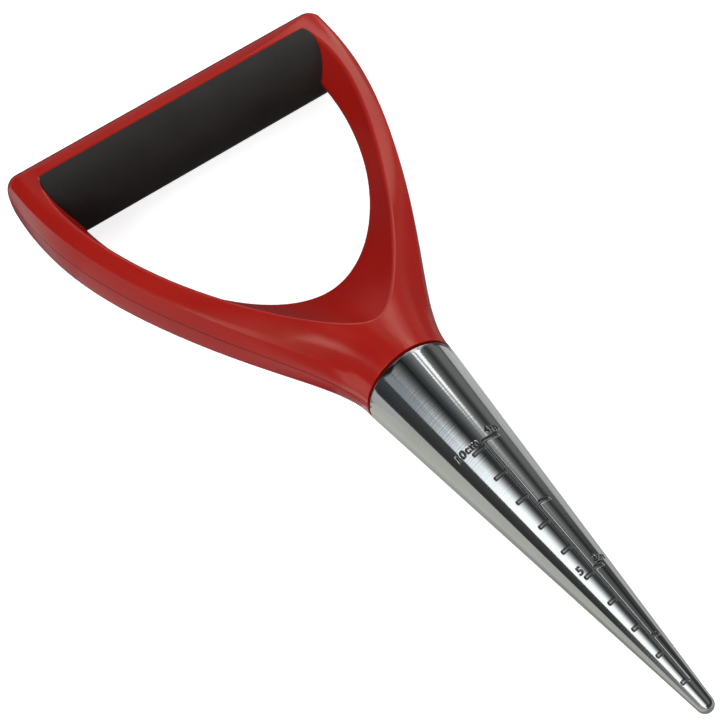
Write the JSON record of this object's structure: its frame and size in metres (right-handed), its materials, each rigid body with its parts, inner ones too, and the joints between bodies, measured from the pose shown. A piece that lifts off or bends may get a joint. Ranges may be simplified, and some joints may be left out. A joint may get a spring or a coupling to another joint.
{
  "type": "hand planter",
  "caption": "Hand planter: a polished aluminium cone with sunk centimetre and inch scales, bolted into a red plastic D-handle with a black rubber grip.",
  "frame": {"origin": "Middle of the tool's length and width, on the surface it lies on.", "axes": "+X runs along the cone to its tip, +Y along the grip bar to the inch side of the scale, +Z out of the front, where the scale is."},
  "size_m": [0.291, 0.1236, 0.0319],
  "materials": {
    "cone_metal": "polished",
    "handle_plastic": "satin",
    "grip_rubber": "matte",
    "core_plastic": "matte",
    "fastener_steel": "zinc plated"
  },
  "bodies": {
    "root": {"dibber_cone": "cone_metal", "handle_front_shell": "handle_plastic", "handle_rear_shell": "handle_plastic", "grip_sleeve": "grip_rubber", "neck_core": "core_plastic", "tie_bolt": "fastener_steel", "tie_washer": "fastener_steel", "shell_screws": "fastener_steel"}
  },
  "joints": []
}
